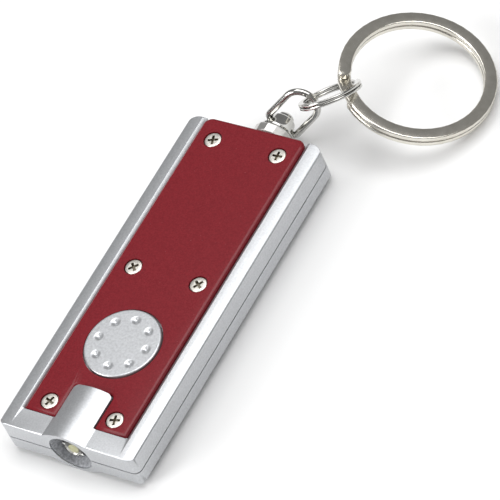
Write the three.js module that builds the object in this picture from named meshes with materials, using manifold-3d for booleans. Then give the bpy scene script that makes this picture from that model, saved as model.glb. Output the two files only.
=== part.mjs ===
// Keychain flashlight: a flat two-shell case with a translucent panel, one round button, one LED,
// two coin cells, and a swivel that carries a wire loop, a small split ring and a large split ring.
// Millimetres. The case lies flat: +X to its right, +Y towards the ring end, +Z up.
import * as THREE from 'three';
import { mergeVertices } from 'three/addons/utils/BufferGeometryUtils.js';
import Module from 'manifold-3d';

const wasm = await Module();
wasm.setup();

// ---- driving dimensions -------------------------------------------------------------------
const DEG = Math.PI / 180;
const FIT = 0.02; // gap between pieces that rest on each other
const SLIDE = 0.2; // gap round pieces that move

const CASE_LENGTH = 60;
const CASE_WIDTH = 24.3;
const CASE_HEIGHT = 6.4;
const HALF_LENGTH = CASE_LENGTH / 2;
const HALF_WIDTH = CASE_WIDTH / 2;
const WALL = 1.2;
const PARTING_Z = 2.9;
const FLOOR_TOP = 1.0;
const ROOF_UNDERSIDE = 4.7;
const PANEL_SEAT_Z = 5.6;
const FRONT_CORNER = 1.2;
const REAR_CORNER = 2.0;

const PANEL_TOP = CASE_HEIGHT + 0.18;
const PANEL_HALF_WIDTH = 9.12;
const PANEL_FRONT_Y = -HALF_LENGTH + 3.5;
const PANEL_GAP = 0.12;
const PANEL_EDGE = { drop: 0.4, inset: 0.5, steps: 3 };
const RIM_CHAMFER = { width: 0.55, depth: 0.42 };

const NOTCH_WIDTH = 7.1;
const NOTCH_END_Y = -HALF_LENGTH + 9.5;
const HUMP_RADIUS = 8.0;
const HUMP_TOP = 7.4;
const BULGE_BOTTOM = -0.9;

const LAMP_Z = 3.2;
const LAMP_HOLE_RADIUS = 3.575;
const LED_RADIUS = 2.5;
const LED_FLANGE_RADIUS = 2.8;
const LED_TIP_Y = -HALF_LENGTH + 0.35;
const LED_DOME_HEIGHT = 1.8;
const LED_BASE_Y = NOTCH_END_Y - 0.6;

const BUTTON_Y = -11.9;
const BUTTON_RADIUS = 6.1;
const BUTTON_TOP = PANEL_TOP + 0.3;

const SCREW_X = 5.9;
const SCREW_ROWS = { rear: 26.2, mid: 1.2, front: -24.3 };
const SCREW_SEAT_RADIUS = 1.5;
const SCREW_HEAD_RADIUS = 1.38;
const SCREW_SHANK_RADIUS = 0.7;
const BOSS_RADIUS = 1.6;

const CELL_Y = 13.7;
const CELL_RADIUS = 10;
const CELL_THICKNESS = 1.6;

const SWIVEL_X = 1.0;
const SWIVEL_Z = 2.8;
const SWIVEL_SHANK_RADIUS = 1.0;
const LOOP_PIVOT_Y = HALF_LENGTH + 3.8;

// ---- geometry helpers ---------------------------------------------------------------------
function toSolid(geometry) {
  const bare = geometry.clone();
  bare.deleteAttribute('normal');
  bare.deleteAttribute('uv');
  const merged = mergeVertices(bare, 1e-5);
  return new wasm.Manifold(new wasm.Mesh({
    numProp: 3,
    vertProperties: new Float32Array(merged.attributes.position.array),
    triVerts: new Uint32Array(merged.index.array),
  }));
}

function toGeometry(solid) {
  const mesh = solid.getMesh();
  const geometry = new THREE.BufferGeometry();
  geometry.setAttribute('position', new THREE.BufferAttribute(mesh.vertProperties, 3));
  geometry.setIndex(new THREE.BufferAttribute(mesh.triVerts, 1));
  const faceted = geometry.toNonIndexed();
  faceted.computeVertexNormals();
  return faceted;
}

function join(...solids) {
  return solids.reduce((sum, next) => sum.add(next));
}

function cut(body, ...tools) {
  return tools.reduce((rest, tool) => rest.subtract(tool), body);
}

// A box between two corner points.
function box(low, high) {
  const size = high.map((value, axis) => value - low[axis]);
  const geometry = new THREE.BoxGeometry(...size);
  geometry.translate(...low.map((value, axis) => value + size[axis] / 2));
  return toSolid(geometry);
}

// A cone or cylinder about a vertical axis, from zLow to zHigh.
function post(x, y, zLow, zHigh, radiusLow, radiusHigh = radiusLow, segments = 20) {
  const geometry = new THREE.CylinderGeometry(radiusHigh, radiusLow, zHigh - zLow, segments);
  geometry.rotateX(90 * DEG);
  geometry.translate(x, y, (zLow + zHigh) / 2);
  return toSolid(geometry);
}

// A body of revolution about an axis along y through [x, z]: points are [radius, y].
function turnedAlongY(points, [x, z], segments = 40) {
  const profile = points.map(([radius, y]) => new THREE.Vector2(radius, y));
  const geometry = new THREE.LatheGeometry(profile, segments);
  geometry.translate(x, 0, z);
  return toSolid(geometry);
}

// A body of revolution about a vertical axis: points are [radius, z], bottom first.
function turnedAlongZ(points, x, y, segments = 40) {
  const profile = points.map(([radius, z]) => new THREE.Vector2(radius, z));
  const geometry = new THREE.LatheGeometry(profile, segments);
  geometry.rotateX(90 * DEG);
  geometry.translate(x, y, 0);
  return toSolid(geometry);
}

// A flat outline lifted from zLow to zHigh. Its edges, top and bottom, can round over by drop
// and inset.
function plate(shape, zLow, zHigh, { drop, inset, steps } = { drop: 0, inset: 0, steps: 1 }) {
  const geometry = new THREE.ExtrudeGeometry(shape, {
    depth: zHigh - zLow - 2 * drop,
    bevelEnabled: drop > 0,
    bevelThickness: drop,
    bevelSize: inset,
    bevelOffset: -inset,
    bevelSegments: steps,
    curveSegments: 6,
  });
  geometry.translate(0, 0, zLow + drop);
  return toSolid(geometry);
}

// A rectangle with its own corner radius at the low-y and high-y ends.
function roundedRectangle(halfWidth, yLow, yHigh, lowCorner, highCorner) {
  const shape = new THREE.Shape();
  shape.moveTo(-halfWidth + lowCorner, yLow);
  shape.lineTo(halfWidth - lowCorner, yLow);
  shape.absarc(halfWidth - lowCorner, yLow + lowCorner, lowCorner, -90 * DEG, 0);
  shape.lineTo(halfWidth, yHigh - highCorner);
  shape.absarc(halfWidth - highCorner, yHigh - highCorner, highCorner, 0, 90 * DEG);
  shape.lineTo(-halfWidth + highCorner, yHigh);
  shape.absarc(-halfWidth + highCorner, yHigh - highCorner, highCorner, 90 * DEG, 180 * DEG);
  shape.lineTo(-halfWidth, yLow + lowCorner);
  shape.absarc(-halfWidth + lowCorner, yLow + lowCorner, lowCorner, 180 * DEG, 270 * DEG);
  return shape;
}

// A closed solid swept through stations {centre, u, v}; the section is convex and runs u to v.
function swept(stations, section) {
  const positions = [];
  for (const { centre, u, v } of stations) {
    for (const [a, b] of section) {
      const point = centre.clone().addScaledVector(u, a).addScaledVector(v, b);
      positions.push(point.x, point.y, point.z);
    }
  }
  const sides = section.length;
  const indices = [];
  for (let k = 0; k < stations.length - 1; k += 1) {
    for (let i = 0; i < sides; i += 1) {
      const a = k * sides + i;
      const b = k * sides + ((i + 1) % sides);
      indices.push(a, b, b + sides, a, b + sides, a + sides);
    }
  }
  const last = (stations.length - 1) * sides;
  for (let i = 1; i < sides - 1; i += 1) {
    indices.push(0, i + 1, i);
    indices.push(last, last + i, last + i + 1);
  }
  const geometry = new THREE.BufferGeometry();
  geometry.setAttribute('position', new THREE.Float32BufferAttribute(positions, 3));
  geometry.setIndex(indices);
  geometry.computeVertexNormals();
  return geometry;
}

function node(name, body, { color, metalness = 0, roughness = 0.5, opacity = 1 }) {
  const geometry = body.isBufferGeometry ? body : toGeometry(body);
  const material = new THREE.MeshStandardMaterial({
    color, metalness, roughness, opacity, transparent: opacity < 1,
  });
  const mesh = new THREE.Mesh(geometry, material);
  mesh.name = name;
  return mesh;
}

const SILVER = { color: 0xc9cbcd, metalness: 0.85, roughness: 0.35 };
const NICKEL = { color: 0xd6d3cb, metalness: 1, roughness: 0.22 };
const CHROME = { color: 0xdadcde, metalness: 1, roughness: 0.12 };
const STEEL = { color: 0xb9bcc0, metalness: 1, roughness: 0.3 };
const RED = { color: 0xb5121b, roughness: 0.15, opacity: 0.75 };
const DARK = { color: 0x3c3d40, roughness: 0.6 };
const GREEN = { color: 0x1f6b3a, roughness: 0.5 };
const CLEAR = { color: 0xf2f1e6, roughness: 0.05, opacity: 0.5 };

// ---- case outside -------------------------------------------------------------------------
// The case's cross-section: flat bottom with rounded edges, upright sides, lightly crowned rim.
function caseSection() {
  const bottomEdge = 0.9;
  const shape = new THREE.Shape();
  shape.moveTo(-HALF_WIDTH + bottomEdge, 0);
  shape.lineTo(HALF_WIDTH - bottomEdge, 0);
  shape.absarc(HALF_WIDTH - bottomEdge, bottomEdge, bottomEdge, -90 * DEG, 0);
  const rim = [
    [0, 0.65], [0.05, 0.47], [0.17, 0.33], [0.34, 0.24], [0.55, 0.19], [1.0, 0.12], [1.6, 0.05], [2.3, 0],
  ];
  for (const [inset, drop] of rim) {
    shape.lineTo(HALF_WIDTH - inset, CASE_HEIGHT - drop);
  }
  for (const [inset, drop] of rim.toReversed()) {
    shape.lineTo(-HALF_WIDTH + inset, CASE_HEIGHT - drop);
  }
  shape.lineTo(-HALF_WIDTH, bottomEdge);
  shape.absarc(-HALF_WIDTH + bottomEdge, bottomEdge, bottomEdge, 180 * DEG, 270 * DEG);
  return shape;
}

function caseBlank() {
  const bar = new THREE.ExtrudeGeometry(caseSection(), {
    depth: CASE_LENGTH, bevelEnabled: false, curveSegments: 4,
  });
  bar.rotateX(90 * DEG);
  bar.translate(0, HALF_LENGTH, 0);
  const outline = roundedRectangle(HALF_WIDTH + FIT, -HALF_LENGTH, HALF_LENGTH, FRONT_CORNER, REAR_CORNER);
  return toSolid(bar).intersect(plate(outline, 0, CASE_HEIGHT, { drop: 0.4, inset: 0.4, steps: 3 }));
}

// A lens-shaped ridge along the lamp: a hump on top and a shallower bulge underneath.
function lampRidge() {
  const ridge = (zCentre) => {
    const geometry = new THREE.CylinderGeometry(HUMP_RADIUS, HUMP_RADIUS, NOTCH_END_Y + HALF_LENGTH - FIT, 64);
    geometry.translate(0, (NOTCH_END_Y - HALF_LENGTH) / 2, zCentre);
    return toSolid(geometry);
  };
  const top = ridge(HUMP_TOP - HUMP_RADIUS);
  const bottom = ridge(BULGE_BOTTOM + HUMP_RADIUS);
  const rearCorner = 0.8;
  const plan = roundedRectangle(
    NOTCH_WIDTH / 2 - PANEL_GAP, -HALF_LENGTH, NOTCH_END_Y - PANEL_GAP, 0.05, rearCorner,
  );
  const flare = box([-HALF_WIDTH, -HALF_LENGTH, BULGE_BOTTOM], [HALF_WIDTH, PANEL_FRONT_Y - PANEL_GAP, HUMP_TOP]);
  const lens = top.intersect(bottom);
  const above = box([-HALF_WIDTH, -HALF_LENGTH, CASE_HEIGHT / 2], [HALF_WIDTH, 0, HUMP_TOP + 1]);
  const below = box([-HALF_WIDTH, -HALF_LENGTH, BULGE_BOTTOM - 1], [HALF_WIDTH, 0, CASE_HEIGHT / 2]);
  const hump = lens.intersect(above).intersect(join(plate(plan, 0, HUMP_TOP), flare));
  return join(hump, lens.intersect(below));
}

function partingGroove() {
  const depth = 0.3;
  const low = PARTING_Z - 0.1;
  const high = PARTING_Z + 0.1;
  const inner = roundedRectangle(
    HALF_WIDTH - depth, -HALF_LENGTH + depth, HALF_LENGTH - depth, FRONT_CORNER - depth, REAR_CORNER - depth,
  );
  const around = box([-HALF_WIDTH - 1, -HALF_LENGTH - 1, low], [HALF_WIDTH + 1, HALF_LENGTH + 1, high]);
  return cut(around, plate(inner, low - 1, high + 1));
}

// ---- case inside --------------------------------------------------------------------------
function cavity() {
  const room = roundedRectangle(HALF_WIDTH - WALL, NOTCH_END_Y + 0.6, HALF_LENGTH - WALL, 0.6, 1.0);
  return plate(room, FLOOR_TOP, ROOF_UNDERSIDE);
}

function lampBore() {
  return turnedAlongY([
    [0, -HALF_LENGTH - 1],
    [LAMP_HOLE_RADIUS, -HALF_LENGTH - 1],
    [LAMP_HOLE_RADIUS, -HALF_LENGTH + 3.4],
    [LED_FLANGE_RADIUS + 0.1, -HALF_LENGTH + 3.4],
    [LED_FLANGE_RADIUS + 0.1, LED_BASE_Y + 0.1],
    [2.2, LED_BASE_Y + 0.1],
    [2.2, NOTCH_END_Y + 1.2],
    [0, NOTCH_END_Y + 1.2],
  ], [0, LAMP_Z]);
}

function swivelBore() {
  const radius = SWIVEL_SHANK_RADIUS + SLIDE / 2;
  return turnedAlongY([
    [0, HALF_LENGTH - WALL - 1],
    [radius, HALF_LENGTH - WALL - 1],
    [radius, HALF_LENGTH + 1],
    [0, HALF_LENGTH + 1],
  ], [SWIVEL_X, SWIVEL_Z], 24);
}

// Each screw stops at an angle of its own, as driven screws do.
function screwSpots() {
  return Object.entries(SCREW_ROWS).flatMap(([row, y], k) => [
    { name: `screw_${row}_left`, x: -SCREW_X, y, turn: 20 + 25 * k },
    { name: `screw_${row}_right`, x: SCREW_X, y, turn: 5 + 50 * k },
  ]);
}

// The panel's outline: flush with the rear end, with a square-cornered U round the lamp hump.
function panelOutline(grow) {
  const half = PANEL_HALF_WIDTH + grow;
  const front = PANEL_FRONT_Y - grow;
  const notch = NOTCH_WIDTH / 2 - grow;
  const notchEnd = NOTCH_END_Y - grow;
  const round = 0.7;
  const rearRound = 1.4;
  const shape = new THREE.Shape();
  shape.moveTo(-half, front);
  shape.lineTo(-notch, front);
  shape.lineTo(-notch, notchEnd - round);
  shape.absarc(-notch + round, notchEnd - round, round, 180 * DEG, 90 * DEG, true);
  shape.lineTo(notch - round, notchEnd);
  shape.absarc(notch - round, notchEnd - round, round, 90 * DEG, 0, true);
  shape.lineTo(notch, front);
  shape.lineTo(half, front);
  shape.lineTo(half, HALF_LENGTH - rearRound);
  shape.absarc(half - rearRound, HALF_LENGTH - rearRound, rearRound, 0, 90 * DEG);
  shape.lineTo(-half + rearRound, HALF_LENGTH);
  shape.absarc(-half + rearRound, HALF_LENGTH - rearRound, rearRound, 90 * DEG, 180 * DEG);
  return shape;
}

function shells() {
  const outside = join(caseBlank(), lampRidge());
  const carved = cut(outside, cavity(), lampBore(), swivelBore(), partingGroove());
  const above = box([-50, -50, PARTING_Z + FIT / 2], [50, 50, 50]);
  const below = box([-50, -50, -50], [50, 50, PARTING_Z - FIT / 2]);

  const bosses = screwSpots().map(({ x, y }) => post(x, y, FLOOR_TOP - 0.2, PARTING_Z - FIT / 2, BOSS_RADIUS));
  const pilots = screwSpots().map(({ x, y }) => post(x, y, FLOOR_TOP, 10, SCREW_SHANK_RADIUS + FIT, undefined, 12));
  const lower = cut(join(carved.intersect(below), ...bosses), ...pilots);

  const collars = screwSpots().map(({ x, y }) => (
    post(x, y, PARTING_Z + FIT / 2, ROOF_UNDERSIDE + 0.2, BOSS_RADIUS)
  ));
  const panelSeat = plate(panelOutline(PANEL_GAP), PANEL_SEAT_Z, 20);
  const buttonWell = post(0, BUTTON_Y, ROOF_UNDERSIDE - 1, 20, BUTTON_RADIUS + 0.9, undefined, 64);
  const seatOpening = box(
    [-PANEL_HALF_WIDTH - PANEL_GAP, HALF_LENGTH - 1.4, PANEL_SEAT_Z],
    [PANEL_HALF_WIDTH + PANEL_GAP, HALF_LENGTH + 1, 20],
  );
  const upper = cut(
    join(carved.intersect(above), ...collars),
    cut(join(panelSeat, seatOpening), lampRidge()),
    rimChamfer(1),
    rimChamfer(-1),
    buttonWell,
    ...pilots,
  );
  return { lower, upper };
}

// The sloping cut along the rim's inner edge, on the right (side 1) or the left (side -1).
function rimChamfer(side) {
  const inner = PANEL_HALF_WIDTH + PANEL_GAP - 0.01;
  const outer = inner + RIM_CHAMFER.width;
  const shape = new THREE.Shape();
  shape.moveTo(side * inner, CASE_HEIGHT - RIM_CHAMFER.depth);
  shape.lineTo(side * outer, CASE_HEIGHT);
  shape.lineTo(side * outer, CASE_HEIGHT + 1);
  shape.lineTo(side * inner, CASE_HEIGHT + 1);
  const wedge = new THREE.ExtrudeGeometry(shape, {
    depth: HALF_LENGTH + 1 - PANEL_FRONT_Y, bevelEnabled: false,
  });
  wedge.rotateX(90 * DEG);
  wedge.translate(0, HALF_LENGTH + 1, 0);
  return toSolid(wedge);
}

function panel() {
  const seat = PANEL_SEAT_Z + FIT;
  const rounded = plate(panelOutline(0), seat - PANEL_EDGE.drop, PANEL_TOP, PANEL_EDGE);
  const blank = cut(rounded, box([-50, -50, 0], [50, 50, seat]));
  const buttonHole = post(0, BUTTON_Y, 0, 20, BUTTON_RADIUS + SLIDE, undefined, 64);
  const seats = screwSpots().map(({ x, y }) => post(x, y, 0, 20, SCREW_SEAT_RADIUS));
  return cut(blank, buttonHole, ...seats);
}

// ---- screws -------------------------------------------------------------------------------
function screw(x, y, turn) {
  const seat = PANEL_SEAT_Z + FIT;
  const top = PANEL_TOP - 0.1;
  const tip = FLOOR_TOP + 0.3;
  const body = turnedAlongZ([
    [0, tip],
    [SCREW_SHANK_RADIUS - 0.2, tip],
    [SCREW_SHANK_RADIUS - 0.02, tip + 0.5],
    [SCREW_SHANK_RADIUS - 0.02, seat],
    [SCREW_HEAD_RADIUS, seat],
    [SCREW_HEAD_RADIUS, top - 0.12],
    [SCREW_HEAD_RADIUS - 0.1, top - 0.03],
    [SCREW_HEAD_RADIUS - 0.3, top],
    [0, top],
  ], x, y, 24);
  const slotLength = 1.7;
  const slotWidth = 0.42;
  const slots = [turn, turn + 90].map((angle) => {
    const slot = new THREE.BoxGeometry(slotLength, slotWidth, 2);
    slot.rotateZ(angle * DEG);
    slot.translate(x, y, top - 0.5 + 1);
    return toSolid(slot);
  });
  return cut(body, ...slots);
}

// ---- button and switch --------------------------------------------------------------------
function buttonCap() {
  const flangeTop = PANEL_SEAT_Z - 0.04;
  const flangeBottom = flangeTop - 0.6;
  const plungerRadius = 1.6;
  const plungerBottom = 2.9;
  const edge = 0.25;
  const body = turnedAlongZ([
    [0, plungerBottom],
    [plungerRadius, plungerBottom],
    [plungerRadius, flangeBottom],
    [BUTTON_RADIUS + 0.6, flangeBottom],
    [BUTTON_RADIUS + 0.6, flangeTop],
    [BUTTON_RADIUS, flangeTop],
    [BUTTON_RADIUS, BUTTON_TOP - edge],
    [BUTTON_RADIUS - 0.1, BUTTON_TOP - 0.08],
    [BUTTON_RADIUS - edge, BUTTON_TOP],
    [0, BUTTON_TOP],
  ], 0, BUTTON_Y, 64);
  const dimpleCount = 8;
  const dimpleCircle = 0.7 * BUTTON_RADIUS;
  const dimpleBallRadius = 0.95;
  const dimpleDepth = 0.28;
  const dimples = [];
  for (let k = 0; k < dimpleCount; k += 1) {
    const angle = (k / dimpleCount) * 360 * DEG;
    const ball = new THREE.SphereGeometry(dimpleBallRadius, 14, 8);
    ball.translate(
      dimpleCircle * Math.cos(angle),
      BUTTON_Y + dimpleCircle * Math.sin(angle),
      BUTTON_TOP + dimpleBallRadius - dimpleDepth,
    );
    dimples.push(toSolid(ball));
  }
  return cut(body, ...dimples);
}

const BOARD_TOP = FLOOR_TOP + FIT + 0.8;

function switchDome() {
  const low = BOARD_TOP + FIT;
  const rise = 1.0;
  const thickness = 0.15;
  return turnedAlongZ([
    [0, low + rise - thickness],
    [1.6, low + rise - thickness - 0.12],
    [3.0, low + 0.25],
    [3.8, low],
    [4.0, low],
    [4.0, low + thickness],
    [3.2, low + 0.45],
    [1.6, low + rise - 0.12],
    [0, low + rise],
  ], 0, BUTTON_Y, 36);
}

function switchBoard() {
  const outline = roundedRectangle(5.2, BUTTON_Y - 5.6, BUTTON_Y + 5.4, 0.8, 0.8);
  return plate(outline, FLOOR_TOP + FIT, BOARD_TOP);
}

// ---- lamp ---------------------------------------------------------------------------------
function reflectorCup() {
  const outer = LAMP_HOLE_RADIUS - FIT;
  const mouth = -HALF_LENGTH + 0.25;
  const back = -HALF_LENGTH + 3.4 - FIT;
  const throat = LED_RADIUS + 0.05;
  return turnedAlongY([
    [throat, back],
    [throat, mouth + 1.6],
    [outer - 0.15, mouth],
    [outer, mouth],
    [outer, back],
    [throat, back],
  ], [0, LAMP_Z]);
}

function led() {
  const shoulderY = LED_TIP_Y + LED_DOME_HEIGHT;
  const profile = [[0, LED_TIP_Y]];
  const domeSteps = 6;
  for (let k = 1; k <= domeSteps; k += 1) {
    const angle = (k / domeSteps) * 90 * DEG;
    profile.push([LED_RADIUS * Math.sin(angle), shoulderY - LED_DOME_HEIGHT * Math.cos(angle)]);
  }
  profile.push(
    [LED_RADIUS, LED_BASE_Y - 1],
    [LED_FLANGE_RADIUS, LED_BASE_Y - 1],
    [LED_FLANGE_RADIUS, LED_BASE_Y],
    [0, LED_BASE_Y],
  );
  return turnedAlongY(profile, [0, LAMP_Z], 28);
}

// A square lead that leaves the LED's base and drops onto the switch board.
function lead(x) {
  const half = 0.25;
  const run = box([x - half, LED_BASE_Y + FIT, LAMP_Z - half], [x + half, -16.6, LAMP_Z + half]);
  const drop = box([x - half, -17.1, BOARD_TOP + FIT], [x + half, -16.6, LAMP_Z + half]);
  return join(run, drop);
}

// ---- cells and contacts -------------------------------------------------------------------
const STRIP = 0.2;
const LOWER_CELL_Z = FLOOR_TOP + STRIP + 2 * FIT;

function coinCell(z) {
  const canEdge = 0.25;
  return turnedAlongZ([
    [0, z],
    [CELL_RADIUS - 1.1, z],
    [CELL_RADIUS - 1.0, z + 0.2],
    [CELL_RADIUS - canEdge, z + 0.2],
    [CELL_RADIUS, z + 0.2 + canEdge],
    [CELL_RADIUS, z + CELL_THICKNESS - canEdge],
    [CELL_RADIUS - canEdge, z + CELL_THICKNESS],
    [0, z + CELL_THICKNESS],
  ], 0, CELL_Y, 40);
}

// The strip under the cells runs forward along the floor to the board's edge.
function negativeStrip() {
  return box([-1.5, BUTTON_Y + 5.4 + FIT, FLOOR_TOP + FIT], [1.5, CELL_Y + 5, FLOOR_TOP + FIT + STRIP]);
}

// The strip over the cells steps down in front of them onto the board.
function positiveStrip() {
  const top = LOWER_CELL_Z + 2 * CELL_THICKNESS + 2 * FIT;
  const bend = BUTTON_Y + 8.4;
  const over = box([-1.5, bend, top], [1.5, CELL_Y + 5, top + STRIP]);
  const down = box([-1.5, bend, BOARD_TOP + FIT], [1.5, bend + STRIP, top + STRIP]);
  const foot = box([-1.5, BUTTON_Y + 4.4, BOARD_TOP + FIT], [1.5, bend + STRIP, BOARD_TOP + FIT + STRIP]);
  return join(over, down, foot);
}

// ---- swivel -------------------------------------------------------------------------------
const SWIVEL_AXIS = [SWIVEL_X, SWIVEL_Z];
const BASE_FRONT_Y = HALF_LENGTH + FIT;
const BASE_REAR_Y = HALF_LENGTH + 2.2;
const COLLAR_FRONT_Y = BASE_REAR_Y + 0.1;
const COLLAR_REAR_Y = LOOP_PIVOT_Y + 1.2;
const LOOP_WIRE_RADIUS = 0.55;

// The faceted foot that seats against the case.
function swivelBase() {
  const bore = SWIVEL_SHANK_RADIUS + FIT;
  const radius = 3.35;
  return cut(
    turnedAlongY([
      [0, BASE_FRONT_Y],
      [radius - 0.3, BASE_FRONT_Y],
      [radius, BASE_FRONT_Y + 0.4],
      [radius, BASE_REAR_Y - 0.45],
      [radius - 0.45, BASE_REAR_Y],
      [0, BASE_REAR_Y],
    ], SWIVEL_AXIS, 14),
    turnedAlongY([
      [0, BASE_FRONT_Y - 1],
      [bore, BASE_FRONT_Y - 1],
      [bore, BASE_REAR_Y + 1],
      [0, BASE_REAR_Y + 1],
    ], SWIVEL_AXIS, 24),
  );
}

// The rivet that holds the swivel: a head inside the case, a shank, and a domed head outside.
function swivelStud() {
  const retainerFront = HALF_LENGTH - WALL - 1.0;
  const retainerBack = HALF_LENGTH - WALL - FIT;
  const domeBase = COLLAR_REAR_Y + 0.08;
  const domeRadius = 1.35;
  const domeHeight = 1.1;
  const profile = [
    [0, retainerFront],
    [1.6, retainerFront],
    [1.6, retainerBack],
    [SWIVEL_SHANK_RADIUS, retainerBack],
    [SWIVEL_SHANK_RADIUS, domeBase],
    [domeRadius, domeBase],
  ];
  const steps = 5;
  for (let k = 1; k < steps; k += 1) {
    const angle = (k / steps) * 90 * DEG;
    profile.push([domeRadius * Math.cos(angle), domeBase + 0.15 + (domeHeight - 0.15) * Math.sin(angle)]);
  }
  profile.push([0, domeBase + domeHeight]);
  return turnedAlongY(profile, SWIVEL_AXIS, 28);
}

// The bell turns on the rivet. It is drawn about the y axis, with a cross hole along x for the
// loop's feet.
function swivelCollar() {
  const bore = SWIVEL_SHANK_RADIUS + 0.1;
  const bell = turnedAlongY([
    [bore, COLLAR_FRONT_Y],
    [2.8, COLLAR_FRONT_Y],
    [2.8, COLLAR_FRONT_Y + 0.25],
    [2.55, COLLAR_FRONT_Y + 0.6],
    [2.2, COLLAR_FRONT_Y + 1.3],
    [1.95, COLLAR_REAR_Y - 0.55],
    [1.85, COLLAR_REAR_Y - 0.2],
    [1.65, COLLAR_REAR_Y],
    [bore, COLLAR_REAR_Y],
    [bore, COLLAR_FRONT_Y],
  ], [0, 0], 36);
  const holeRadius = LOOP_WIRE_RADIUS + 0.1;
  const hole = new THREE.CylinderGeometry(holeRadius, holeRadius, 8, 16);
  hole.rotateZ(90 * DEG);
  hole.translate(0, LOOP_PIVOT_Y, 0);
  return cut(bell, toSolid(hole));
}

// The wire loop lies in its own x-y plane with its pivot on the x axis: two inward feet, two
// legs and a half-round end, traced as one line of wire.
function wireLoop() {
  const halfWidth = 2.66;
  const leg = 5.5;
  const footInner = 1.3;
  const bend = 0.7;
  const path = [];
  path.push([-footInner, 0]);
  const bendSteps = 4;
  for (let k = 0; k <= bendSteps; k += 1) {
    const angle = (270 - 90 * (k / bendSteps)) * DEG;
    path.push([-halfWidth + bend + bend * Math.cos(angle), bend + bend * Math.sin(angle)]);
  }
  const arcSteps = 20;
  for (let k = 0; k <= arcSteps; k += 1) {
    const angle = (180 - 180 * (k / arcSteps)) * DEG;
    path.push([halfWidth * Math.cos(angle), leg + halfWidth * Math.sin(angle)]);
  }
  for (let k = 0; k <= bendSteps; k += 1) {
    const angle = (0 - 90 * (k / bendSteps)) * DEG;
    path.push([halfWidth - bend + bend * Math.cos(angle), bend + bend * Math.sin(angle)]);
  }
  path.push([footInner, 0]);

  const normal = new THREE.Vector3(0, 0, 1);
  const stations = path.map(([x, y], k) => {
    const before = path[Math.max(k - 1, 0)];
    const after = path[Math.min(k + 1, path.length - 1)];
    const along = new THREE.Vector3(after[0] - before[0], after[1] - before[1], 0).normalize();
    return { centre: new THREE.Vector3(x, y, 0), u: normal, v: along.clone().cross(normal) };
  });
  return swept(stations, roundSection(LOOP_WIRE_RADIUS, 10));
}

function roundSection(radius, sides) {
  return Array.from({ length: sides }, (_, k) => {
    const angle = (k / sides) * 360 * DEG;
    return [radius * Math.cos(angle), radius * Math.sin(angle)];
  });
}

// ---- split rings --------------------------------------------------------------------------
// A flat-wire ring of two coils: the first coil lies below, the wire steps up through a short
// ramp, and the second coil lies above. Both wire ends narrow to a blunt point beside the ramp.
function splitRing({ meanRadius, wireWidth, wireThickness, coilGap, startAngle, stepsPerTurn, rampAngle }) {
  const lift = (wireThickness + coilGap) / 2;
  const pointLength = wireWidth * 0.45;
  const clear = rampAngle + pointLength / meanRadius + 1.5 * DEG;
  const first = clear;
  const last = 4 * Math.PI - clear;
  const angles = [];
  const count = 2 * stepsPerTurn;
  for (let k = 0; k <= count; k += 1) {
    angles.push({ angle: first + ((last - first) * k) / count, width: 1 });
  }
  const pointSteps = [[0.6, 0.8], [1, 0.35]];
  for (const [reach, width] of pointSteps) {
    const turn = (reach * pointLength) / meanRadius;
    angles.unshift({ angle: first - turn, width });
    angles.push({ angle: last + turn, width });
  }
  const axis = new THREE.Vector3(0, 0, 1);
  const stations = angles.map(({ angle, width }) => {
    const across = THREE.MathUtils.clamp((angle - 2 * Math.PI) / rampAngle, -1, 1);
    const radial = new THREE.Vector3(Math.cos(angle + startAngle), Math.sin(angle + startAngle), 0);
    const height = lift * Math.sin(across * 90 * DEG);
    const centre = radial.clone().multiplyScalar(meanRadius).addScaledVector(axis, height);
    return { centre, u: axis, v: radial.clone().multiplyScalar(width) };
  });
  const a = wireThickness / 2;
  const b = wireWidth / 2;
  const edge = Math.min(a, b) * 0.4;
  const section = [
    [a, -b + edge], [a, b - edge], [a - edge, b], [-a + edge, b],
    [-a, b - edge], [-a, -b + edge], [-a + edge, -b], [a - edge, -b],
  ];
  return swept(stations, section);
}

function place(mesh, [x, y, z], tilt, heading) {
  mesh.position.set(x, y, z);
  mesh.rotation.set(0, tilt * DEG, heading * DEG, 'ZYX');
  return mesh;
}

// ---- assembly -----------------------------------------------------------------------------
const flashlight = new THREE.Group();
flashlight.name = 'keychain_flashlight';

const { lower, upper } = shells();
flashlight.add(
  node('lower_shell', lower, SILVER),
  node('upper_shell', upper, SILVER),
  node('panel_cover', panel(), RED),
);
for (const { name, x, y, turn } of screwSpots()) {
  flashlight.add(node(name, screw(x, y, turn), NICKEL));
}
flashlight.add(
  node('button_cap', buttonCap(), SILVER),
  node('switch_dome', switchDome(), STEEL),
  node('switch_board', switchBoard(), GREEN),
  node('reflector_cup', reflectorCup(), DARK),
  node('led', led(), CLEAR),
  node('led_anode_lead', lead(-1.27), STEEL),
  node('led_cathode_lead', lead(1.27), STEEL),
  node('coin_cell_lower', coinCell(LOWER_CELL_Z), STEEL),
  node('coin_cell_upper', coinCell(LOWER_CELL_Z + CELL_THICKNESS + FIT), STEEL),
  node('negative_strip', negativeStrip(), STEEL),
  node('positive_strip', positiveStrip(), STEEL),
  node('swivel_base', swivelBase(), STEEL),
  node('swivel_stud', swivelStud(), CHROME),
);

const LOOP_TURN = 46;
const LOOP_RAISE = 66.8;
const swivel = new THREE.Group();
swivel.position.set(SWIVEL_X, 0, SWIVEL_Z);
swivel.rotation.y = LOOP_TURN * DEG;
const loop = node('wire_loop', wireLoop(), CHROME);
loop.position.set(0, LOOP_PIVOT_Y, 0);
loop.rotation.x = LOOP_RAISE * DEG;
swivel.add(node('swivel_collar', swivelCollar(), CHROME), loop);
flashlight.add(swivel);

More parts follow.
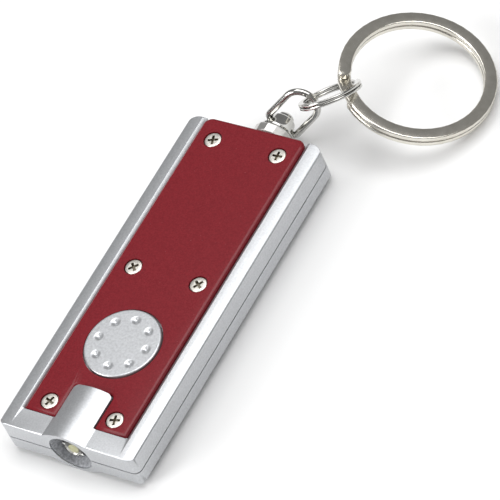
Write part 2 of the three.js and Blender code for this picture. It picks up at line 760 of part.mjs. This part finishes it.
const linkRing = node('link_ring', splitRing({
  meanRadius: 4.65,
  wireWidth: 0.9,
  wireThickness: 0.46,
  coilGap: 0.06,
  startAngle: 300 * DEG,
  stepsPerTurn: 28,
  rampAngle: 11 * DEG,
}), CHROME);
const keyRing = node('key_ring', splitRing({
  meanRadius: 11.15,
  wireWidth: 2.0,
  wireThickness: 0.95,
  coilGap: 0.08,
  startAngle: 202 * DEG,
  stepsPerTurn: 44,
  rampAngle: 8 * DEG,
}), NICKEL);
flashlight.add(
  place(linkRing, [9.89, 37.6, 8.7], 36.8, 132.8),
  place(keyRing, [19.31, 46.68, 4.77], 23.0, 21.3),
);

export default flashlight;
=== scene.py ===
# Keychain flashlight: looks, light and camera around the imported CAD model. Metres.
import math

import bmesh
import bpy
from mathutils import Matrix, Vector


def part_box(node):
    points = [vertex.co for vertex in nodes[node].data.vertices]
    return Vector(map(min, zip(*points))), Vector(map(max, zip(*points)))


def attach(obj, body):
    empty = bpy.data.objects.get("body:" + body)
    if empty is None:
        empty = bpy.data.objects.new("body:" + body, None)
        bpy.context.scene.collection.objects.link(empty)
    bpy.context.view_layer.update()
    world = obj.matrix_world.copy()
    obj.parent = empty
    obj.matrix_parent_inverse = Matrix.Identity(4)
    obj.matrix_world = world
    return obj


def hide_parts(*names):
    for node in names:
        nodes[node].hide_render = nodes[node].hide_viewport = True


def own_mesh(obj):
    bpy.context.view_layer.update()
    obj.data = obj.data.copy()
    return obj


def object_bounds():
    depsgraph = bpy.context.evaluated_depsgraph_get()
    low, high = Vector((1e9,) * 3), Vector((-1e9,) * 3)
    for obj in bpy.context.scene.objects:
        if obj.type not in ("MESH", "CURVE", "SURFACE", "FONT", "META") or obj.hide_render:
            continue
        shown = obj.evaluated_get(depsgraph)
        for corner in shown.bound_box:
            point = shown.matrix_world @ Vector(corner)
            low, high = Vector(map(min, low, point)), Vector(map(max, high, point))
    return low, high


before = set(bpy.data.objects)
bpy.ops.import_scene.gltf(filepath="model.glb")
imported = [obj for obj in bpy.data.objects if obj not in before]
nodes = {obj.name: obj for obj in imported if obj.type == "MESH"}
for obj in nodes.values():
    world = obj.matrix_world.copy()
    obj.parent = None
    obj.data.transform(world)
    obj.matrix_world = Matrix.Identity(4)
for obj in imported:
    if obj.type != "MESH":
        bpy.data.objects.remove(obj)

CAD_BOX = [list(corner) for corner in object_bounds()]
MM = 0.001


# ---- materials ----------------------------------------------------------------------------
class Shader:
    """A material with short calls for adding and linking its nodes."""

    def __init__(self, name):
        self.material = bpy.data.materials.new(name)
        self.material.use_nodes = True
        self.tree = self.material.node_tree
        self.bsdf = self.tree.nodes["Principled BSDF"]

    def set(self, **values):
        """Set the surface's own sockets: Base_Color stands for Base Color."""
        for key, value in values.items():
            self.bsdf.inputs[key.replace("_", " ")].default_value = value

    def add(self, kind):
        return self.tree.nodes.new(kind)

    def link(self, source, target):
        self.tree.links.new(source, target)

    def noise(self, scale, detail=3):
        """Noise fixed to the object; scale is in cells per metre."""
        place = self.add("ShaderNodeTexCoord")
        noise = self.add("ShaderNodeTexNoise")
        noise.inputs["Scale"].default_value = scale
        noise.inputs["Detail"].default_value = detail
        self.link(place.outputs["Object"], noise.inputs["Vector"])
        return noise.outputs["Fac"]

    def ramp(self, factor, dark, light, start=0.3, end=0.7):
        """A colour that runs from dark to light as the factor goes from start to end."""
        ramp = self.add("ShaderNodeValToRGB")
        stops = ramp.color_ramp.elements
        stops[0].position, stops[1].position = start, end
        stops[0].color, stops[1].color = (*dark, 1), (*light, 1)
        self.link(factor, ramp.inputs["Fac"])
        return ramp.outputs["Color"]

    def spread(self, factor, low, high):
        """The factor's 0 to 1 stretched to low to high."""
        span = self.add("ShaderNodeMapRange")
        span.inputs["To Min"].default_value = low
        span.inputs["To Max"].default_value = high
        self.link(factor, span.inputs["Value"])
        return span.outputs["Result"]

    def bump(self, height, depth, strength):
        bump = self.add("ShaderNodeBump")
        bump.inputs["Strength"].default_value = strength
        bump.inputs["Distance"].default_value = depth
        self.link(height, bump.inputs["Height"])
        self.link(bump.outputs["Normal"], self.bsdf.inputs["Normal"])


def silver_paint(name, grain, depth, dark=0.52, light=0.62):
    """Metallic paint: bright flecks in a grey coat over a fine orange-peel grain."""
    cool = (0.98, 1.0, 1.03)
    low, high = ([tone * part for part in cool] for tone in (dark, light))
    s = Shader(name)
    s.set(Metallic=0.8, IOR=1.5)
    fleck = s.noise(grain)
    s.link(s.ramp(fleck, low, high), s.bsdf.inputs["Base Color"])
    s.link(s.spread(s.noise(900), 0.32, 0.4), s.bsdf.inputs["Roughness"])
    s.bump(fleck, depth, 0.5)
    return s.material


def red_panel():
    """Dark red plastic with fine specks and a low gloss."""
    dark_red = (0.165, 0.008, 0.014)
    light_red = (0.215, 0.013, 0.02)
    s = Shader("red_panel")
    s.set(IOR=1.49, Specular_IOR_Level=0.32)
    speck = s.noise(4200)
    s.link(s.ramp(speck, dark_red, light_red, 0.35, 0.65), s.bsdf.inputs["Base Color"])
    s.link(s.spread(s.noise(2400, 2), 0.2, 0.3), s.bsdf.inputs["Roughness"])
    s.bump(speck, 0.006 * MM, 0.25)
    return s.material


def bright_metal(name, dark, light, rough_low, rough_high):
    """Bare or plated metal with faint uneven colour and polish."""
    color_grain, polish_grain = 700, 1190
    s = Shader(name)
    s.set(Metallic=1.0)
    s.link(s.ramp(s.noise(color_grain), dark, light), s.bsdf.inputs["Base Color"])
    s.link(s.spread(s.noise(polish_grain), rough_low, rough_high), s.bsdf.inputs["Roughness"])
    return s.material


def screw_metal():
    """Nickel with painted shade: the colour goes dark by height down in the cross slots."""
    head_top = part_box("screw_mid_left")[1][2]
    # Painted shade in the slots: full at the lower height, none at the upper height, fading between.
    shade_none_above, shade_full_below = head_top - 0.05 * MM, head_top - 0.2 * MM
    s = Shader("screw_nickel")
    s.set(Metallic=1.0)
    place = s.add("ShaderNodeTexCoord")
    split = s.add("ShaderNodeSeparateXYZ")
    s.link(place.outputs["Object"], split.inputs["Vector"])
    painted_shade_mask = s.add("ShaderNodeMapRange")
    painted_shade_mask.inputs["From Min"].default_value = shade_full_below
    painted_shade_mask.inputs["From Max"].default_value = shade_none_above
    s.link(split.outputs["Z"], painted_shade_mask.inputs["Value"])
    bright = s.ramp(s.noise(900), (0.86, 0.83, 0.76), (0.94, 0.91, 0.84))
    mix = s.add("ShaderNodeMix")
    mix.data_type = "RGBA"
    s.link(painted_shade_mask.outputs["Result"], mix.inputs["Factor"])
    # Painted shade colour at the bottom of the cross slots.
    mix.inputs["A"].default_value = (0.26, 0.23, 0.18, 1)
    s.link(bright, mix.inputs["B"])
    s.link(mix.outputs["Result"], s.bsdf.inputs["Base Color"])
    s.link(s.spread(s.noise(1500), 0.28, 0.4), s.bsdf.inputs["Roughness"])
    return s.material


def grainy_plastic(name, dark, light, roughness=0.55):
    """A mottled surface with a fine moulded grain."""
    s = Shader(name)
    s.set(Roughness=roughness)
    grain = s.noise(2500)
    s.link(s.ramp(grain, dark, light, 0.35, 0.65), s.bsdf.inputs["Base Color"])
    s.bump(grain, 0.02 * MM, 0.5)
    return s.material


def clear_epoxy():
    """The LED's water-clear lens, with a little unevenness in its polish."""
    s = Shader("clear_epoxy")
    s.set(Base_Color=(0.97, 0.97, 0.93, 1), IOR=1.54, Transmission_Weight=1.0)
    s.link(s.spread(s.noise(1500, 2), 0.02, 0.08), s.bsdf.inputs["Roughness"])
    return s.material


SILVER = silver_paint("silver_paint", 3600, 0.012 * MM)
BUTTON_SILVER = silver_paint("button_silver", 2600, 0.03 * MM, 0.56, 0.72)
RED = red_panel()
CHROME = bright_metal("chrome", (0.55, 0.545, 0.52), (0.64, 0.635, 0.61), 0.05, 0.1)
NICKEL = bright_metal("nickel", (0.72, 0.69, 0.62), (0.80, 0.77, 0.70), 0.14, 0.24)
STEEL = bright_metal("plain_steel", (0.62, 0.61, 0.59), (0.74, 0.73, 0.71), 0.3, 0.42)
CUP = grainy_plastic("cup_grey", (0.24, 0.25, 0.27), (0.50, 0.51, 0.54), 0.4)
BOARD = grainy_plastic("board_green", (0.02, 0.12, 0.05), (0.03, 0.16, 0.07))
CHIP = grainy_plastic("chip_phosphor", (0.86, 0.84, 0.45), (0.96, 0.94, 0.62), 0.5)

PAINT = {
    SILVER: ["lower_shell", "upper_shell"],
    RED: ["panel_cover"],
    CHROME: ["swivel_stud", "swivel_collar", "wire_loop", "link_ring"],
    NICKEL: ["key_ring"],
    screw_metal(): [name for name in nodes if name.startswith("screw_")],
    STEEL: ["swivel_base", "led_anode_lead", "led_cathode_lead", "coin_cell_lower",
            "coin_cell_upper", "negative_strip", "positive_strip"],
    CUP: ["reflector_cup"],
    BOARD: ["switch_board"],
    clear_epoxy(): ["led"],
}
TURNED_PARTS = ("swivel_base", "swivel_collar", "swivel_stud")


def smooth(obj, angle=55, flat_faces=True):
    """Keep flat faces flat, round the narrow bevels beside them and split the sharp edges."""
    for polygon in obj.data.polygons:
        polygon.use_smooth = True
    weld = obj.modifiers.new("weld", "WELD")
    weld.merge_threshold = 0.001 * MM
    split = obj.modifiers.new("split", "EDGE_SPLIT")
    split.split_angle = math.radians(angle)
    if flat_faces:
        weighted = obj.modifiers.new("weighted", "WEIGHTED_NORMAL")
        weighted.keep_sharp = True


def paint_nodes():
    """Give every CAD node that stays in view its material and its shading."""
    for material, names in PAINT.items():
        for name in names:
            node = nodes[name]
            node.data.materials.clear()
            node.data.materials.append(material)
            if name.startswith("screw_"):
                smooth(node, 30, flat_faces=False)
            elif name in TURNED_PARTS:
                smooth(node, 20)
            else:
                smooth(node)


paint_nodes()


# ---- finer pieces -------------------------------------------------------------------------
def new_piece(name, vertices, faces, material, body):
    """A smooth-shaded mesh piece that rides on one body of the model."""
    mesh = bpy.data.meshes.new(name)
    mesh.from_pydata(vertices, [], faces)
    mesh.materials.append(material)
    obj = bpy.data.objects.new(name, mesh)
    bpy.context.scene.collection.objects.link(obj)
    bm = bmesh.new()
    bm.from_mesh(mesh)
    bmesh.ops.recalc_face_normals(bm, faces=bm.faces)
    bm.to_mesh(mesh)
    bm.free()
    smooth(obj)
    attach(obj, body)
    return obj


def turned(profile, place, segments=96):
    """Vertices and faces of a closed turned body. The profile runs from axis to axis."""
    inner = profile[1:-1]
    vertices = [place(0, 0, profile[0][1])]
    for radius, height in inner:
        for k in range(segments):
            angle = math.tau * k / segments
            vertices.append(place(radius * math.cos(angle), radius * math.sin(angle), height))
    vertices.append(place(0, 0, profile[-1][1]))
    last = len(vertices) - 1
    faces = []
    for k in range(segments):
        after = (k + 1) % segments
        faces.append((0, 1 + after, 1 + k))
        for row in range(len(inner) - 1):
            low = 1 + row * segments
            high = low + segments
            faces.append((low + k, low + after, high + after, high + k))
        faces.append((last - segments + k, last - segments + after, last))
    return vertices, faces


def mid(node, axis):
    low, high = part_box(node)
    return (low[axis] + high[axis]) / 2


BUTTON_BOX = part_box("button_cap")
BUTTON_CENTRE = (mid("button_cap", 0), mid("button_cap", 1))
BUTTON_FLANGE = (BUTTON_BOX[1][0] - BUTTON_BOX[0][0]) / 2
FLANGE_WIDTH = 0.6 * MM
FLANGE_THICKNESS = 0.6 * MM
FLANGE_DROP = 1.32 * MM
BUTTON_RADIUS = BUTTON_FLANGE - FLANGE_WIDTH
BUTTON_TOP = BUTTON_BOX[1][2]
PLUNGER_RADIUS = 1.6 * MM
DIMPLES = 8


def dimple_drop(x, y):
    """How far the button's top dips at (x, y) from its centre: eight soft round dimples."""
    radius, depth = 0.8 * MM, 0.3 * MM
    ring = 0.7 * BUTTON_RADIUS
    for k in range(DIMPLES):
        angle = math.tau * k / DIMPLES
        away = math.hypot(x - ring * math.cos(angle), y - ring * math.sin(angle)) / radius
        if away < 1:
            return depth * (1 + math.cos(math.pi * away)) / 2
    return 0


def button_cap():
    """The round button with a softly rounded rim, a flange under the panel and a plunger."""
    def place(x, y, z):
        on_top = math.hypot(x, y) < BUTTON_RADIUS - rim and z > BUTTON_TOP - rim
        drop = dimple_drop(x, y) if on_top else 0
        return (BUTTON_CENTRE[0] + x, BUTTON_CENTRE[1] + y, z - drop)

    rim = 0.25 * MM
    rows = 60
    top = [((BUTTON_RADIUS - rim) * k / rows, BUTTON_TOP) for k in range(rows + 1)]
    edge = []
    rim_steps = 6
    for k in range(1, rim_steps + 1):
        angle = math.pi / 2 * k / rim_steps
        radius = BUTTON_RADIUS - rim + rim * math.sin(angle)
        edge.append((radius, BUTTON_TOP - rim + rim * math.cos(angle)))
    flange_top = BUTTON_TOP - FLANGE_DROP
    flange_foot = flange_top - FLANGE_THICKNESS
    foot = BUTTON_BOX[0][2]
    under = [
        (BUTTON_RADIUS, flange_top),
        (BUTTON_FLANGE, flange_top),
        (BUTTON_FLANGE, flange_foot),
        (PLUNGER_RADIUS, flange_foot),
        (PLUNGER_RADIUS, foot),
        (0, foot),
    ]
    vertices, faces = turned(top + edge + under, place, 144)
    piece = new_piece("button_cap_fine", vertices, faces, BUTTON_SILVER, "button")
    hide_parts("button_cap")


def led_chip():
    """The pale yellow chip in its small bright dish, inside the clear lens."""
    led_x, led_z = mid("led", 0), mid("led", 2)
    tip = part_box("led")[0][1]

    def place(x, z, y):
        return (led_x + x, y, led_z + z)

    def behind_tip(*points):
        """A profile from radius and depth behind the lens's tip, both in mm."""
        return [(radius * MM, tip + depth * MM) for radius, depth in points]

    dish = behind_tip((0, 1.3), (0.5, 1.25), (1.0, 0.85), (1.15, 0.85), (1.15, 1.9), (0, 1.9))
    vertices, faces = turned(dish, place, 48)
    new_piece("led_dish", vertices, faces, STEEL, "case")
    chip = behind_tip((0, 0.85), (0.45, 0.9), (0.7, 1.05), (0, 1.22))
    vertices, faces = turned(chip, place, 48)
    new_piece("led_chip_face", vertices, faces, CHIP, "case")


def switch_dome():
    """The snap dome under the button, a thin domed sheet."""
    def place(x, y, z):
        return (BUTTON_CENTRE[0] + x, BUTTON_CENTRE[1] + y, z)

    low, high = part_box("switch_dome")
    radius = (high[0] - low[0]) / 2
    height = high[2] - low[2]
    sheet = 0.2 * MM
    steps = 14
    outer = []
    inner = []
    for k in range(steps + 1):
        share = k / steps
        swell = (1 + math.cos(math.pi * share)) / 2
        outer.append((radius * share, low[2] + sheet / 2 + (height - sheet / 2) * swell))
        inner.append((radius * share, low[2] + (height - sheet) * swell))
    vertices, faces = turned(outer + inner[::-1], place, 48)
    piece = new_piece("switch_dome_fine", vertices, faces, STEEL, "case")
    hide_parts("switch_dome")
    place(0, 0, low[2])
    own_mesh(piece)


button_cap()
led_chip()
switch_dome()

# ---- floor, light, camera -----------------------------------------------------------------
FLOOR_Z = CAD_BOX[0][2]


def floor():
    """A plain matt floor at the height of the object's lowest point."""
    mesh = bpy.data.meshes.new("floor")
    reach = 3.0
    corners = [(-reach, -reach), (reach, -reach), (reach, reach), (-reach, reach)]
    mesh.from_pydata([(x, y, FLOOR_Z) for x, y in corners], [], [(0, 1, 2, 3)])
    plane = bpy.data.objects.new("floor", mesh)
    bpy.context.scene.collection.objects.link(plane)
    s = Shader("pale_floor")
    s.set(Roughness=0.9, Base_Color=(0.93, 0.93, 0.93, 1), Specular_IOR_Level=0.1)
    mesh.materials.append(s.material)


def softbox(name, location, target, size, radiance):
    """A soft rectangular lamp whose face has the given radiance."""
    lamp = bpy.data.lights.new(name, "AREA")
    lamp.shape = "RECTANGLE"
    lamp.size, lamp.size_y = size
    lamp.energy = radiance * math.pi * size[0] * size[1]
    obj = bpy.data.objects.new(name, lamp)
    obj.location = location
    obj.rotation_euler = (Vector(target) - Vector(location)).to_track_quat("-Z", "Y").to_euler()
    bpy.context.scene.collection.objects.link(obj)


def studio():
    """A dim even surround, a wide lamp overhead and behind, and a key lamp at the front left."""
    world = bpy.data.worlds.new("studio")
    world.use_nodes = True
    background = world.node_tree.nodes["Background"]
    background.inputs["Color"].default_value = (1, 1, 1, 1)
    background.inputs["Strength"].default_value = 0.24
    bpy.context.scene.world = world
    softbox("overhead", location=(0.13, 0.16, 0.7), target=(0.13, 0.16, 0), size=(1.0, 0.52), radiance=3.1)
    softbox("left_key", location=(-0.5, -0.62, 0.42), target=(0, 0, 0), size=(0.5, 0.5), radiance=6.5)


CAMERA_PLACE = Vector((332.986, -257.191, 470.482)) * MM
CAMERA_RIGHT = Vector((0.82764693, 0.47165208, -0.30421189)).normalized()
CAMERA_UP = Vector((-0.22063467, 0.77180728, 0.59635045)).normalized()
CAMERA_LENS = 302.84


def camera():
    """A long lens above the object's front right, looking down and back at it."""
    data = bpy.data.cameras.new("camera")
    data.sensor_width = 36
    data.lens = CAMERA_LENS
    obj = bpy.data.objects.new("camera", data)
    back = CAMERA_RIGHT.cross(CAMERA_UP).normalized()
    turn = Matrix((CAMERA_RIGHT, CAMERA_UP, back)).transposed().to_4x4()
    obj.matrix_world = Matrix.Translation(CAMERA_PLACE) @ turn
    data.clip_start, data.clip_end = 0.01, 20
    bpy.context.scene.collection.objects.link(obj)
    bpy.context.scene.camera = obj


bpy.context.scene.view_settings.view_transform = "Standard"
floor()
studio()
camera()
